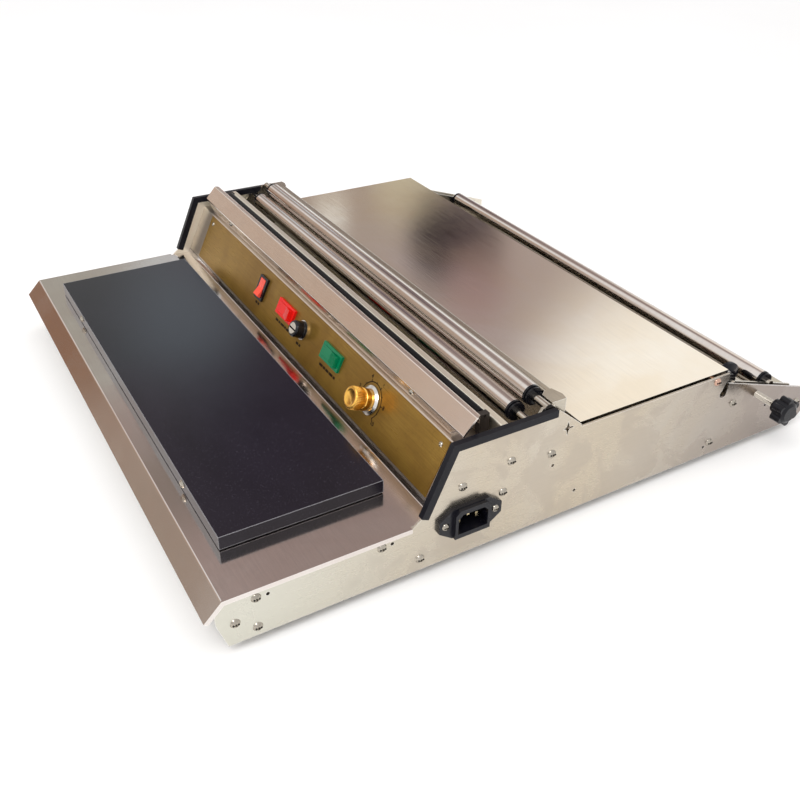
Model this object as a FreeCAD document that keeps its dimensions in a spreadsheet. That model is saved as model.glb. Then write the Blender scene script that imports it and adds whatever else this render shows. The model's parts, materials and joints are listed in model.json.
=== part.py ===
"""Tray-wrapping film sealer: hot sealing plate, hot cutter bar, film rollers and roll cradle.

Frame: +X to the operator's right, +Y to the rear, +Z up, millimetres.
The origin is on the standing surface, below the middle of the machine's overall box.
The parts are drawn from the middle of the casing's width (X) and from the front lip (Y),
and the last step moves them all by centre_x and centre_y to that origin.
Heights in the tables below are measured from the lower edge of the side plates,
which stands foot_drop above the origin; height() adds that.
"""
import FreeCAD, Part
import math
import os

DOC = FreeCAD.newDocument("film_sealer")
V = FreeCAD.Vector

# ---------------------------------------------------------------- driving dimensions
SHEET = DOC.addObject("Spreadsheet::Sheet", "Sizes")
DRIVING = {
    "overall_width": 485.0,
    "centre_x": 15.6,
    "centre_y": 264.0,
    "foot_drop": 8.0,
    "foot_radius": 9.0,
    "sheet_gauge": 1.2,
    "plate_gauge": 1.5,
    "side_gap": 1.25,
    "trim_gauge": 1.5,
    "tray_top": 39.3,
    "lip_run": 12.1,
    "lip_bottom": 26.75,
    "tray_rear": 160.0,
    "panel_angle": 64.7,
    "panel_foot_depth": 162.5,
    "panel_foot_height": 43.0,
    "overlay_gauge": 0.5,
    "hot_plate_width": 402.0,
    "hot_plate_front": 26.6,
    "hot_plate_rear": 144.0,
    "hot_plate_height": 10.0,
    "guard_width": 470.0,
    "cutter_radius": 2.75,
    "cutter_length": 444.0,
    "roller_radius": 7.5,
    "roller_wall": 1.2,
    "stub_radius": 3.0,
    "running_gap": 0.05,
    "top_roller_length": 435.0,
    "cradle_roller_length": 452.0,
    "table_top": 75.0,
    "table_front": 280.0,
    "table_rear": 425.0,
    "table_width": 476.0,
    "table_skirt": 12.5,
    "knob_radius": 8.8,
    "knob_height": 18.5,
    "thread_radius": 3.0,
    "star_knob_radius": 11.5,
    "star_knob_length": 15.0,
    "screw_head_radius": 3.4,
}
for row, (alias, value) in enumerate(DRIVING.items(), start=1):
    SHEET.set(f"A{row}", alias)
    SHEET.set(f"B{row}", str(value))
    SHEET.setAlias(f"B{row}", alias)
DOC.recompute()


def size(alias):
    """Value of a driving dimension, read back from the sheet."""
    return float(SHEET.get(alias))


HALF = size("overall_width") / 2.0
GAUGE = size("sheet_gauge")
PLATE = size("plate_gauge")
SIDE_OUTER = HALF - size("side_gap")
SIDE_INNER = SIDE_OUTER - PLATE
STUB = size("stub_radius")
FIT = size("running_gap")


def height(z):
    """Height above the standing surface of a point z above the side plates' lower edge."""
    return z + size("foot_drop")


def raised(points):
    """The same profile with its heights measured from the standing surface."""
    return [(y, height(z)) for y, z in points]


# ---------------------------------------------------------------- sketch and feature helpers
def polygon(points):
    """Closed outline of straight lines."""
    ends = points[1:] + points[:1]
    lines = []
    for a, b in zip(points, ends):
        lines.append(Part.LineSegment(V(a[0], a[1], 0), V(b[0], b[1], 0)))
    return lines


def circles(*rings):
    """Full circles given as (x, y, radius)."""
    return [Part.Circle(V(x, y, 0), V(0, 0, 1), radius) for x, y, radius in rings]


def folded_sheet(path, gauge, bend):
    """Outline of a sheet of even gauge, lying to the left of an outer path, with rounded folds."""
    corners = [V(u, v, 0) for u, v in path]
    count = len(corners)
    heading = [(corners[i + 1] - corners[i]).normalize() for i in range(count - 1)]
    left = [V(-d.y, d.x, 0) for d in heading]
    near = []
    far = []
    near_start = corners[0]
    far_start = corners[0] + left[0] * gauge
    for i in range(1, count - 1):
        turn = math.atan2(heading[i - 1].cross(heading[i]).z, heading[i - 1].dot(heading[i]))
        near_radius = bend + gauge if turn > 0 else bend
        reach = near_radius * math.tan(abs(turn) / 2)
        centre_side = near_radius if turn > 0 else -near_radius
        arc_in = corners[i] - heading[i - 1] * reach
        arc_out = corners[i] + heading[i] * reach
        centre = arc_in + left[i - 1] * centre_side
        outward = (corners[i] - centre).normalize()
        far_radius = near_radius - gauge if turn > 0 else near_radius + gauge
        far_in = arc_in + left[i - 1] * gauge
        far_out = arc_out + left[i] * gauge
        near.append(Part.LineSegment(near_start, arc_in))
        near.append(Part.Arc(arc_in, centre + outward * near_radius, arc_out))
        far.append(Part.LineSegment(far_start, far_in))
        far.append(Part.Arc(far_in, centre + outward * far_radius, far_out))
        near_start = arc_out
        far_start = far_out
    near.append(Part.LineSegment(near_start, corners[-1]))
    far_end = corners[-1] + left[-1] * gauge
    far.append(Part.LineSegment(far_start, far_end))
    caps = [
        Part.LineSegment(corners[0], corners[0] + left[0] * gauge),
        Part.LineSegment(corners[-1], far_end),
    ]
    return near + far + caps


def new_body(label, placement=None):
    """Empty PartDesign body whose label names the sub-part."""
    body = DOC.addObject("PartDesign::Body", label)
    body.Label = label
    body.Placement = placement or FreeCAD.Placement()
    return body


def sketch_on(body, plane, geometry, offset=0.0, tilt=None):
    """Sketch on one of the body's own origin planes, moved along its normal or tilted."""
    role = plane + "_Plane"
    base = next(item for item in body.Origin.OriginFeatures if item.Role == role)
    sketch = body.newObject("Sketcher::SketchObject", body.Name + "_sketch")
    sketch.AttachmentSupport = [(base, "")]
    sketch.MapMode = "FlatFace"
    sketch.AttachmentOffset = tilt or FreeCAD.Placement(V(0, 0, offset), FreeCAD.Rotation())
    sketch.addGeometry(geometry, False)
    return sketch


def pad(body, plane, geometry, length, offset=0.0, middle=False, tilt=None, flip=False):
    """Pad whose length is a number or an expression over the sheet."""
    sketch = sketch_on(body, plane, geometry, offset, tilt)
    feature = body.newObject("PartDesign::Pad", body.Name + "_pad")
    feature.Profile = sketch
    feature.Midplane = middle
    feature.Reversed = flip
    set_length(feature, "Length", length)
    return feature


def pocket(body, plane, geometry, length, offset=0.0, middle=False, tilt=None, flip=False):
    """Pocket, checked to have removed material."""
    before = solid_volume(body)
    sketch = sketch_on(body, plane, geometry, offset, tilt)
    feature = body.newObject("PartDesign::Pocket", body.Name + "_pocket")
    feature.Profile = sketch
    feature.Midplane = middle
    feature.Reversed = flip
    set_length(feature, "Length", length)
    if solid_volume(body) > before - 1e-3:
        raise RuntimeError(body.Label + ": a pocket removed nothing")
    return feature


def set_length(feature, name, length):
    """Bind a length to the sheet, or set it where it is a plain number."""
    if isinstance(length, str):
        feature.setExpression(name, length)
    else:
        setattr(feature, name, length)


def solid_volume(body):
    """Volume of a body after a recompute."""
    DOC.recompute()
    return body.Shape.Volume


def revolve(body, points):
    """Solid of revolution about the body's own Z axis from (radius, height) points."""
    sketch = sketch_on(body, "XZ", polygon(points))
    feature = body.newObject("PartDesign::Revolution", body.Name + "_turned")
    feature.Profile = sketch
    axis = next(item for item in body.Origin.OriginFeatures if item.Role == "Z_Axis")
    feature.ReferenceAxis = (axis, [""])
    feature.Angle = 360.0
    return feature


def box(x0, x1, y0, y1):
    """Rectangle outline."""
    return polygon([(x0, y0), (x1, y0), (x1, y1), (x0, y1)])


def along_x(x, y, z):
    """Placement that turns a body's Z axis to point along +X."""
    return FreeCAD.Placement(V(x, y, z), FreeCAD.Rotation(V(0, 1, 0), 90))


def solids_group(label, solids):
    """One sub-part made of several separate solids, such as a set of like screws."""
    group = DOC.addObject("Part::Feature", label)
    group.Label = label
    group.Shape = Part.makeCompound(solids)
    group.Placement = FreeCAD.Placement()
    return group


def dome_screw(centre, direction, head_radius, shank_radius, shank_length):
    """Low domed head standing on a face at centre, with any shank going in behind it."""
    rise = head_radius * 0.62
    ball = (head_radius ** 2 + rise ** 2) / (2 * rise)
    dome = Part.makeSphere(ball, centre - direction * (ball - rise))
    collar = Part.makeCylinder(head_radius, rise, centre, direction)
    head = dome.common(collar)
    slot_centre = centre + direction * (rise + 0.6)
    recess = Part.makeCylinder(head_radius * 0.34, 1.3, slot_centre, direction * -1)
    head = head.cut(recess)
    if shank_length > 0:
        shank = Part.makeCylinder(shank_radius, shank_length, centre, direction * -1)
        head = head.fuse(shank).removeSplitter()
    return head


# ---------------------------------------------------------------- side plates and edge trims
SIDE_OUTLINE = raised([
    (14.0, 0.0),
    (7.5, 20.0),
    (7.0, 31.3),
    (13.3, 38.0),
    (143.0, 38.0),
    (150.5, 44.0),
    (172.5, 94.0),
    (257.0, 94.0),
    (259.0, 92.6),
    (277.8, 76.3),
    (278.6, 73.7),
    (424.0, 73.7),
    (425.0, 64.3),
    (528.0, 29.6),
    (528.0, 7.0),
    (521.0, 0.0),
])
SIDE_SCREWS = [
    (33.8, 31.0), (19.4, 16.9), (33.5, 7.0), (120.4, 32.0), (149.6, 9.7), (180.9, 58.5),
    (214.6, 41.0), (219.7, 65.4), (254.3, 58.7), (417.4, 11.5), (435.3, 42.8), (516.8, 18.7),
]
SIDE_HOLES = [(41.5, 30.8), (128.0, 32.5), (256.4, 48.0), (279.8, 17.1), (411.5, 8.6), (476.4, 27.7)]
STEP_NOTCH = (421.0, 56.0, 3.6)
CORNER_RELIEF = [
    (266.0, 82.0), (267.2, 77.6), (271.5, 76.4), (267.2, 75.2),
    (266.0, 70.5), (264.8, 75.2), (262.2, 76.4), (264.8, 77.6),
]
TABLE_LEDGE = [(286.0, 60.9), (302.0, 60.9), (302.0, 62.4), (286.0, 62.4)]
TABLE_PIVOT = (411.5, 69.5)
PIVOT_R = 2.0
STOP_SCREW = (462.0, 43.3)
INLET_CENTRE = (187.0, 32.0)
THREAD = size("thread_radius")


def side_plate(label, inner_x, with_inlet):
    """Flat side of the casing, with its screw holes and the notch behind the table."""
    body = new_body(label)
    pad(body, "YZ", polygon(SIDE_OUTLINE), "Sizes.plate_gauge", offset=inner_x)
    y, z, radius = STEP_NOTCH
    notch = polygon(raised([(y - radius, z), (y + radius, z), (y + radius + 1.5, 70.0), (y + 1.0, 66.0)]))
    pocket(body, "YZ", notch, 12.0, offset=inner_x + 0.75, middle=True)
    pocket(body, "YZ", circles((y, height(z), radius)), 12.0, offset=inner_x + 0.75, middle=True)
    bores = [(a, height(b), 1.6) for a, b in SIDE_SCREWS]
    bores += [(a, height(b), 1.3) for a, b in SIDE_HOLES]
    bores.append((TABLE_PIVOT[0], height(TABLE_PIVOT[1]), PIVOT_R))
    if with_inlet:
        bores.append((STOP_SCREW[0], height(STOP_SCREW[1]), THREAD + FIT))
    pocket(body, "YZ", circles(*bores), 12.0, offset=inner_x + 0.75, middle=True)
    pocket(body, "YZ", polygon(raised(CORNER_RELIEF)), 12.0, offset=inner_x + 0.75, middle=True)
    ledge_x = inner_x - 3.4 if inner_x > 0 else inner_x + PLATE
    pad(body, "YZ", polygon(raised(TABLE_LEDGE)), 3.4, offset=ledge_x)
    if with_inlet:
        a, b = INLET_CENTRE
        window = box(a - 13.5, a + 13.5, height(b) - 10.0, height(b) + 10.0)
        pocket(body, "YZ", window, 12.0, offset=inner_x + 0.75, middle=True)
    return body


side_plate("side_plate_right", SIDE_INNER, True)
side_plate("side_plate_left", -SIDE_OUTER, False)

TRIM = size("trim_gauge")
HUMP_EDGE = [(150.5, 44.0), (172.5, 94.0), (255.0, 94.0)]
TRIM_OUTER = [(149.13, 44.6), (171.52, 95.5), (255.0, 95.5)]
TRIM_LEG = [(154.4, 42.3), (175.4, 90.0), (255.0, 90.0)]


def edge_trim(label, inner_x):
    """Rubber channel pushed over the front and top edge of the raised part of a side plate."""
    body = new_body(label)
    crown = raised(TRIM_OUTER + HUMP_EDGE[::-1])
    leg = raised(TRIM_OUTER + TRIM_LEG[::-1])
    pad(body, "YZ", polygon(crown), "Sizes.plate_gauge + 2 * Sizes.trim_gauge", offset=inner_x - TRIM)
    pad(body, "YZ", polygon(leg), "Sizes.trim_gauge", offset=inner_x - TRIM)
    pad(body, "YZ", polygon(leg), "Sizes.trim_gauge", offset=inner_x + PLATE)
    return body


edge_trim("edge_trim_right", SIDE_INNER)
edge_trim("edge_trim_left", -SIDE_OUTER)

# ---------------------------------------------------------------- base, rear plate and feet
base = new_body("base_plate")
BASE_PATH = raised([(16.0, 34.0), (16.0, 0.5), (518.0, 0.5)])
pad(base, "YZ", folded_sheet(BASE_PATH, GAUGE, 0.8), 2 * SIDE_INNER - 0.2, middle=True)
VENT_ROWS = 3
VENT_COUNT = 9
vents = []
for vent_row in range(VENT_ROWS):
    for vent in range(VENT_COUNT):
        vent_x = -120.0 + 30.0 * vent
        vent_y = 200.0 + 14.0 * vent_row
        vents += box(vent_x - 10.0, vent_x + 10.0, vent_y - 2.0, vent_y + 2.0)
pocket(base, "XY", vents, 6.0, offset=height(1.0), middle=True)

rear = new_body("rear_plate")
REAR_PATH = raised([(505.0, 1.7), (525.5, 1.7), (525.5, 25.0), (514.0, 25.0)])
rear_outline = folded_sheet(REAR_PATH, GAUGE, 3.6)
pad(rear, "YZ", rear_outline, 2 * SIDE_INNER - 0.2, middle=True)

FOOT_SPOTS = [(-190.0, 45.0), (190.0, 45.0), (-190.0, 480.0), (190.0, 480.0)]
feet = []
for foot_x, foot_y in FOOT_SPOTS:
    foot = Part.makeCone(size("foot_radius") - 1.5, size("foot_radius"), height(0.5), V(foot_x, foot_y, 0))
    feet.append(foot)
solids_group("rubber_feet", feet)

# ---------------------------------------------------------------- front tray
TRAY = size("tray_top")
LIP = size("lip_bottom")
RUN = size("lip_run")
REAR = size("tray_rear")
TRAY_SPLIT = 142.4
tray = new_body("front_tray")
TRAY_PATH = raised([(REAR + 1.75, TRAY + 3.7), (REAR, TRAY), (RUN, TRAY), (0.0, LIP)])
tray_outline = folded_sheet(TRAY_PATH, GAUGE, 0.8)
pad(tray, "YZ", tray_outline, "Sizes.overall_width", middle=True)
for sign in (-1, 1):
    strip = box(sign * (SIDE_INNER - 0.15), sign * (HALF + 5.0), TRAY_SPLIT, REAR + 8.0)
    pocket(tray, "XY", strip, 40.0, offset=height(TRAY), middle=True)
TRAY_HEM = raised([
    (0.0, LIP), (RUN, TRAY), (TRAY_SPLIT, TRAY),
    (TRAY_SPLIT, TRAY - 3.4), (RUN + 1.4, TRAY - 3.4), (2.6, LIP - 2.0),
])
pad(tray, "YZ", polygon(TRAY_HEM), "Sizes.sheet_gauge", offset=HALF - GAUGE)
pad(tray, "YZ", polygon(TRAY_HEM), "Sizes.sheet_gauge", offset=-HALF)

# ---------------------------------------------------------------- sealing plate and its heater
HOT_FRONT = size("hot_plate_front")
HOT_REAR = size("hot_plate_rear")
HOT_HALF = size("hot_plate_width") / 2.0
HOT_BASE = TRAY + 1.0
HOT_WALL = 1.5
hot = new_body("hot_plate", FreeCAD.Placement(V(0, 0, height(HOT_BASE)), FreeCAD.Rotation()))
pad(hot, "XY", box(-HOT_HALF, HOT_HALF, HOT_FRONT, HOT_REAR), "Sizes.hot_plate_height")
hollow = box(-HOT_HALF + HOT_WALL, HOT_HALF - HOT_WALL, HOT_FRONT + HOT_WALL, HOT_REAR - HOT_WALL)
pocket(hot, "XY", hollow, "Sizes.hot_plate_height - 1.5", flip=True)

heater = new_body("heater_element", FreeCAD.Placement(V(0, 0, height(HOT_BASE + 6.0)), FreeCAD.Rotation()))
pad(heater, "XY", box(-188.0, 188.0, 36.0, 135.0), 2.0)

board = new_body("insulation_board", FreeCAD.Placement(V(0, 0, height(TRAY)), FreeCAD.Rotation()))
pad(board, "XY", box(-192.0, 192.0, 33.0, 138.0), 6.5)

hot_screws = []
for sign in (-1, 1):
    spot = V(sign * 133.0, HOT_FRONT, height(HOT_BASE + 5.0))
    hot_screws.append(dome_screw(spot, V(0, -1, 0), 3.2, 1.5, 0.0))
solids_group("hot_plate_screws", hot_screws)

# ---------------------------------------------------------------- control panel and overlay
ANGLE = size("panel_angle")
RISE = math.sin(math.radians(ANGLE))
SET_BACK = math.cos(math.radians(ANGLE))
PANEL_Y = size("panel_foot_depth")
PANEL_Z = size("panel_foot_height")


def panel_point(up, out=0.0):
    """(Y, height) of a point up the panel's face and out from it."""
    return (PANEL_Y + up * SET_BACK - out * RISE, PANEL_Z + up * RISE + out * SET_BACK)


def on_panel(x, up, out=0.0):
    """Placement whose X runs along the panel, Y up it and Z out of its face."""
    y, z = panel_point(up, out)
    return FreeCAD.Placement(V(x, y, height(z)), FreeCAD.Rotation(V(1, 0, 0), ANGLE))


POWER_SWITCH = (-72.0, 27.0)
SEAL_SWITCH = (-20.0, 27.5)
FUSE = (14.0, 26.0)
CUT_SWITCH = (66.0, 27.5)
KNOB = (130.0, 24.0)
POWER_CUT = (13.2, 19.4)
LONG_CUT = (27.4, 11.4)
OVERLAY_LEFT = -214.0
OVERLAY_RIGHT = 224.0


def panel_cutouts():
    """Openings of the five controls, in the panel's own coordinates."""
    shapes = []
    for (x, up), (wide, tall) in (
        (POWER_SWITCH, POWER_CUT), (SEAL_SWITCH, LONG_CUT), (CUT_SWITCH, LONG_CUT),
    ):
        shapes += box(x - wide / 2, x + wide / 2, up - tall / 2, up + tall / 2)
    shapes += circles((FUSE[0], FUSE[1], 6.3), (KNOB[0], KNOB[1], 4.3))
    return shapes


panel = new_body("control_panel")
PANEL_TOP = panel_point(45.5)
PANEL_PATH = raised([panel_point(0.05), PANEL_TOP, (209.4, PANEL_TOP[1])])
pad(panel, "YZ", folded_sheet(PANEL_PATH[::-1], GAUGE, 0.6), 2 * SIDE_INNER - 0.3, middle=True)
pocket(panel, "XY", panel_cutouts(), 6.0, tilt=on_panel(0.0, 0.0), middle=True)

overlay = new_body("panel_overlay", on_panel(0.0, 0.0))
pad(overlay, "XY", box(OVERLAY_LEFT, OVERLAY_RIGHT, 1.6, 44.8), "Sizes.overlay_gauge")
pocket(overlay, "XY", panel_cutouts(), 4.0, middle=True)
LIFT = size("overlay_gauge")

panel_normal = V(0, -RISE, SET_BACK)
panel_screws = []
for screw_x in (-206.5, 216.5):
    for screw_up in (7.0, 38.5):
        spot_y, spot_z = panel_point(screw_up, LIFT)
        panel_screws.append(dome_screw(V(screw_x, spot_y, height(spot_z)), panel_normal, 2.0, 0.8, 0.0))
solids_group("panel_screws", panel_screws)


def switch_shell(label, spot, bezel, cut, window):
    """Snap-in rocker switch: bezel on the panel, hollow body behind it."""
    body = new_body(label, on_panel(spot[0], spot[1], LIFT))
    wide, tall = bezel
    pad(body, "XY", box(-wide / 2, wide / 2, -tall / 2, tall / 2), 2.2)
    back_wide, back_tall = cut[0] - 0.3, cut[1] - 0.3
    pad(body, "XY", box(-back_wide / 2, back_wide / 2, -back_tall / 2, back_tall / 2), 17.0, flip=True)
    open_wide, open_tall = window
    pocket(body, "XY", box(-open_wide / 2, open_wide / 2, -open_tall / 2, open_tall / 2), 9.0, offset=2.2)
    return body


def rocker_profile(reach, crest):
    """Rocker seen from its pivot axis: shallow V on top, ends that are arcs about the pivot."""
    low = math.radians(22.0)
    high = math.asin(crest / reach)
    corners = [
        V(-reach * math.cos(high), reach * math.sin(high), 0),
        V(0, crest * 0.45, 0),
        V(reach * math.cos(high), reach * math.sin(high), 0),
        V(reach * math.cos(low), -reach * math.sin(low), 0),
        V(reach * 0.35, -reach * 0.52, 0),
        V(-reach * 0.35, -reach * 0.52, 0),
        V(-reach * math.cos(low), -reach * math.sin(low), 0),
    ]
    right_arc = Part.Arc(corners[2], V(reach, 0, 0), corners[3])
    left_arc = Part.Arc(corners[6], V(-reach, 0, 0), corners[0])
    sides = [(0, 1), (1, 2), (3, 4), (4, 5), (5, 6)]
    return [Part.LineSegment(corners[a], corners[b]) for a, b in sides] + [right_arc, left_arc]


ROCKER_PIVOT = 1.3


def rocker(label, spot, reach, crest, across, thickness, tilt):
    """Rocker drawn at one end of its travel. It tilts about the panel's X or about the panel's up."""
    frame = on_panel(spot[0], spot[1], LIFT + ROCKER_PIVOT)
    axis = V(1, 0, 0) if across else V(0, 1, 0)
    lean = FreeCAD.Placement(V(0, 0, 0), FreeCAD.Rotation(axis, tilt))
    body = new_body(label, frame.multiply(lean))
    plane = "YZ" if across else "XZ"
    pad(body, plane, rocker_profile(reach, crest), thickness, middle=True)
    return body


switch_shell("power_switch_body", POWER_SWITCH, (15.0, 21.0), POWER_CUT, (9.4, 17.2))
rocker("power_rocker", POWER_SWITCH, 8.3, 2.6, True, 8.8, -9.0)
switch_shell("seal_switch_body", SEAL_SWITCH, (30.5, 13.8), LONG_CUT, (24.8, 9.6))
rocker("seal_rocker", SEAL_SWITCH, 12.1, 2.7, False, 9.0, -8.0)
switch_shell("cut_switch_body", CUT_SWITCH, (30.5, 13.8), LONG_CUT, (24.8, 9.6))
rocker("cut_rocker", CUT_SWITCH, 12.1, 2.7, False, 9.0, -8.0)

fuse_body = new_body("fuse_holder", on_panel(FUSE[0], FUSE[1], LIFT))
revolve(fuse_body, [(4.4, -24.0), (6.1, -24.0), (6.1, 0.0), (8.2, 0.0), (8.2, 1.6), (4.4, 1.6)])
fuse_cap = new_body("fuse_cap", on_panel(FUSE[0], FUSE[1], LIFT))
revolve(fuse_cap, [
    (0.0, -6.0), (4.3, -6.0), (4.3, 1.7), (7.4, 1.7), (7.4, 3.0), (7.0, 3.6),
    (7.0, 9.6), (6.2, 10.8), (0.0, 10.8),
])
pocket(fuse_cap, "XY", box(-5.0, 5.0, -0.7, 0.7), 1.2, offset=10.8)

KNOB_R = size("knob_radius")
KNOB_TALL = size("knob_height")
thermostat = new_body("thermostat_body", on_panel(KNOB[0], KNOB[1], -GAUGE - 0.1))
revolve(thermostat, [(3.1, 0.0), (15.0, 0.0), (15.0, -14.0), (3.1, -14.0)])
shaft = new_body("thermostat_shaft", on_panel(KNOB[0], KNOB[1], 0.0))
revolve(shaft, [(0.0, -12.0), (3.05, -12.0), (3.05, 12.0), (0.0, 12.0)])
skirt = new_body("knob_skirt", on_panel(KNOB[0], KNOB[1], LIFT))
revolve(skirt, [(3.05, 0.4), (11.2, 0.4), (11.2, 1.0), (9.4, 2.6), (3.05, 2.6)])
knob = new_body("temperature_knob", on_panel(KNOB[0], KNOB[1], LIFT))
revolve(knob, [
    (0.0, 11.5), (3.05, 11.5), (3.05, 2.6), (KNOB_R - 0.3, 2.6), (KNOB_R - 0.3, 8.6),
    (KNOB_R - 1.0, 9.0), (KNOB_R - 1.0, 9.8), (KNOB_R, 10.4), (KNOB_R, KNOB_TALL - 1.2),
    (KNOB_R - 1.0, KNOB_TALL), (KNOB_R - 2.4, KNOB_TALL), (KNOB_R - 3.0, KNOB_TALL - 0.6),
    (0.0, KNOB_TALL - 0.6),
])
pocket(knob, "XY", box(-0.6, 0.6, 3.4, 9.5), 3.5, offset=KNOB_TALL)

# ---------------------------------------------------------------- guard, cutter bar and film strip
guard = new_body("cutter_guard")
GUARD_PATH = raised([
    (196.0, PANEL_TOP[1] + 0.05), (184.6, PANEL_TOP[1] + 0.05), (183.1, 94.0),
    (193.2, 105.3), (197.8, 105.3), (197.8, 98.5),
])
pad(guard, "YZ", folded_sheet(GUARD_PATH[::-1], GAUGE, 0.8), "Sizes.guard_width", middle=True)
GUARD_HALF = size("guard_width") / 2.0
for sign in (-1, 1):
    notch = polygon([
        (sign * (GUARD_HALF + 2.0), height(93.0)), (sign * (GUARD_HALF + 2.0), height(80.0)),
        (sign * (GUARD_HALF - 17.0), height(80.0)), (sign * (GUARD_HALF - 17.0), height(86.5)),
        (sign * (GUARD_HALF - 9.0), height(93.0)),
    ])
    pocket(guard, "XZ", notch, 34.0, offset=-190.0, middle=True)
    mitre = polygon([
        (sign * (GUARD_HALF + 1.0), 193.0), (sign * (GUARD_HALF + 1.0), 200.0),
        (sign * (GUARD_HALF - 5.0), 200.0),
    ])
    pocket(guard, "XY", mitre, 14.0, offset=height(102.0), middle=True)

GUARD_FOOT = V(0, 184.6, height(PANEL_TOP[1] + 0.05))
guard_up = (V(0, 183.1, height(94.0)) - GUARD_FOOT).normalize()
guard_normal = V(0, -guard_up.z, guard_up.y)
guard_screws = []
for sign in (-1, 1):
    spot = GUARD_FOOT + guard_up * 6.6 + guard_normal * 0.02 + V(sign * 169.0, 0, 0)
    guard_screws.append(dome_screw(spot, guard_normal, 2.6, 1.2, 0.0))
solids_group("guard_screws", guard_screws)

CUTTER = (205.0, 98.0)
CUTTER_R = size("cutter_radius")
rail = new_body("cutter_rail")
RAIL_OUTLINE = raised([
    (201.4, PANEL_TOP[1] + 0.05), (208.8, PANEL_TOP[1] + 0.05), (208.8, 90.0),
    (206.4, 92.0), (206.4, 95.25), (203.6, 95.25), (203.6, 92.0), (201.4, 90.0),
])
pad(rail, "YZ", polygon(RAIL_OUTLINE), "Sizes.cutter_length", middle=True)
cutter = new_body("cutter_bar", FreeCAD.Placement(V(0, CUTTER[0], height(CUTTER[1])), FreeCAD.Rotation()))
pad(cutter, "YZ", circles((0, 0, CUTTER_R)), "Sizes.cutter_length", middle=True)
pad(cutter, "YZ", circles((0, 0, 1.0)), "Sizes.cutter_length + 8", middle=True)
end_blocks = []
for sign in (-1, 1):
    block_x = sign * (size("cutter_length") / 2.0 + 0.3)
    corner = V(min(block_x, block_x + sign * 5.0), 201.4, height(PANEL_TOP[1] + 0.05))
    block = Part.makeBox(5.0, 7.4, 99.6 - PANEL_TOP[1], corner)
    bore = Part.makeCylinder(1.05, 20.0, V(block_x - 10.0, CUTTER[0], height(CUTTER[1])), V(1, 0, 0))
    end_blocks.append(block.cut(bore))
solids_group("cutter_end_blocks", end_blocks)

strip_rail = new_body("film_support_strip")
STRIP_PATH = raised([(217.0, 90.5), (217.0, 95.5), (210.5, 95.5), (210.5, 82.0)])
pad(strip_rail, "YZ", folded_sheet(STRIP_PATH, GAUGE, 0.5), 2 * (SIDE_INNER - TRIM - 0.1), middle=True)
TAB = raised([(209.8, 60.0), (214.2, 60.0), (214.2, 87.5), (209.8, 87.5)])
for tab_x in (SIDE_INNER - 2.6, -SIDE_INNER + 0.05):
    pad(strip_rail, "YZ", polygon(TAB), 2.55, offset=tab_x)

# ---------------------------------------------------------------- top film rollers
ROLLER_R = size("roller_radius")
TOP_ROLLERS = {"front_film_roller": (236.0, 88.0), "rear_film_roller": (250.0, 96.0)}
CRADLE_ROLLERS = {"front_cradle_roller": (440.0, 54.7), "rear_cradle_roller": (485.7, 41.6)}


def roller(name, axis, length, stub_length):
    """Steel tube with pressed-in plastic end caps on a steel shaft that sticks out at both ends."""
    y, z = axis
    place = FreeCAD.Placement(V(0, y, height(z)), FreeCAD.Rotation())
    bore = ROLLER_R - size("roller_wall")
    tube = new_body(name + "_tube", place)
    pad(tube, "YZ", circles((0, 0, ROLLER_R), (0, 0, bore)), "Sizes." + length, middle=True)
    axle = new_body(name + "_shaft", place)
    pad(axle, "YZ", circles((0, 0, STUB)), "Sizes." + length + " + " + str(2 * stub_length), middle=True)
    half = size(length) / 2.0
    ends = []
    for sign in (-1, 1):
        face = V(sign * half, y, height(z))
        plug = Part.makeCylinder(bore, 12.0, face, V(-sign, 0, 0))
        disc = Part.makeCylinder(ROLLER_R - 0.2, 1.6, face, V(sign, 0, 0))
        ring = Part.makeCylinder(ROLLER_R - 1.4, 1.2, face + V(sign * 1.6, 0, 0), V(sign, 0, 0))
        hub = Part.makeCylinder(ROLLER_R - 0.6, 1.2, face + V(sign * 2.8, 0, 0), V(sign, 0, 0))
        hole = Part.makeCylinder(STUB, 30.0, face + V(sign * 8.0, 0, 0), V(-sign, 0, 0))
        ends.append(plug.fuse([disc, ring, hub]).cut(hole).removeSplitter())
    solids_group(name + "_caps", ends)


for roller_name, roller_axis in TOP_ROLLERS.items():
    roller(roller_name, roller_axis, "top_roller_length", 20.2)
for roller_name, roller_axis in CRADLE_ROLLERS.items():
    roller(roller_name, roller_axis, "cradle_roller_length", 9.0)


def slotted_bracket(label, outline, axes, bosses, near_x, side, through=()):
    """Plate inside a side plate with open slots for the roller stubs and bosses that stand it off."""
    body = new_body(label)
    plate_x = near_x if side > 0 else -near_x - 2.0
    pad(body, "YZ", polygon(raised(outline)), 2.0, offset=plate_x)
    reach = SIDE_INNER - near_x - 2.0
    boss_x = near_x + 2.0 if side > 0 else -SIDE_INNER
    boss_rings = [(y, height(z), 3.6) for y, z in bosses]
    pad(body, "YZ", circles(*boss_rings), reach, offset=boss_x)
    middle_x = plate_x + 1.0
    for y, z in axes:
        slot = box(y - STUB - FIT, y + STUB + FIT, height(z), height(z) + 16.0)
        pocket(body, "YZ", slot, 6.0, offset=middle_x, middle=True)
        pocket(body, "YZ", circles((y, height(z), STUB + FIT)), 6.0, offset=middle_x, middle=True)
    for y, z, radius in through:
        pocket(body, "YZ", circles((y, height(z), radius)), 6.0, offset=middle_x, middle=True)
    return body


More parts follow.
